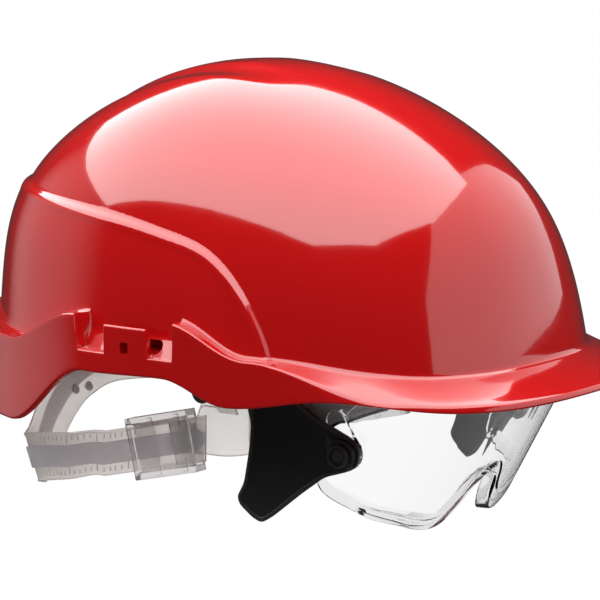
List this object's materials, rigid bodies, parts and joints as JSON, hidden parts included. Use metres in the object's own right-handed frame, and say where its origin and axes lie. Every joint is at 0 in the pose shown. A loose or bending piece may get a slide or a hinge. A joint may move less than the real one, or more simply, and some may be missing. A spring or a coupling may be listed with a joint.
{
  "type": "hard hat",
  "caption": "Hard hat with short peak, side accessory slots, webbing cradle, sliding nape strap and a clear wrap-around eye shield on two swing arms.",
  "frame": {"origin": "centre of the headband opening, where the head goes in", "axes": "-Z out of the opening towards the wearer's neck, +Z to the crown, -Y to the peak, +Y to the nape, +X the wearer's left"},
  "size_m": [0.214, 0.2736, 0.1789],
  "materials": {
    "shell": "glossy red moulded shell",
    "clip": "white moulded plastic",
    "webbing": "plain woven polyester webbing",
    "band": "milky flexible plastic",
    "pad": "foam pad in black cloth",
    "buckle": "clear moulded plastic",
    "tongue": "grey flexible plastic",
    "carrier": "satin black nylon",
    "steel": "plain steel",
    "lens": "clear hard-coated polycarbonate"
  },
  "bodies": {
    "helmet": {"shell": "shell", "clips_front": "clip", "clips_side": "clip", "clips_rear": "clip", "cradle_front_right": "webbing", "cradle_front_left": "webbing", "cradle_cross": "webbing", "crown_patch": "clip", "headband": "band", "sweatband": "pad", "slider_right": "buckle", "slider_left": "buckle", "bracket_right": "carrier", "bracket_left": "carrier", "bracket_rivets": "steel", "swing_pin_right": "steel", "swing_pin_left": "steel", "spring_washers": "steel"},
    "carrier_right": {"arm_right": "carrier", "lens_pin_right": "carrier"},
    "carrier_left": {"arm_left": "carrier", "lens_pin_left": "carrier"},
    "eye_shield": {"lens": "lens"},
    "nape": {"nape_strap": "band", "nape_tongue": "tongue", "nape_studs": "band"}
  },
  "joints": [
    {"name": "arm_swing_right", "type": "hinge", "parent": "helmet", "child": "carrier_right", "pos_m": [-0.0773, -0.028, 0.006], "axis": [-1, 0, 0], "range_deg": [0, 46]},
    {"name": "arm_swing_left", "type": "hinge", "parent": "helmet", "child": "carrier_left", "pos_m": [0.0773, -0.028, 0.006], "axis": [-1, 0, 0], "range_deg": [0, 46]},
    {"name": "lens_tilt", "type": "hinge", "parent": "carrier_right", "child": "eye_shield", "pos_m": [-0.0679, -0.0651, -0.0215], "axis": [-1, 0, 0], "range_deg": [-2, 5]},
    {"name": "nape_adjust", "type": "slide", "parent": "helmet", "child": "nape", "axis": [0, 0.9724, -0.2334], "range_m": [-0.014, 0.008]}
  ],
  "couplings": [
    {"joint": "arm_swing_left", "follows": "arm_swing_right", "ratio": 1}
  ]
}
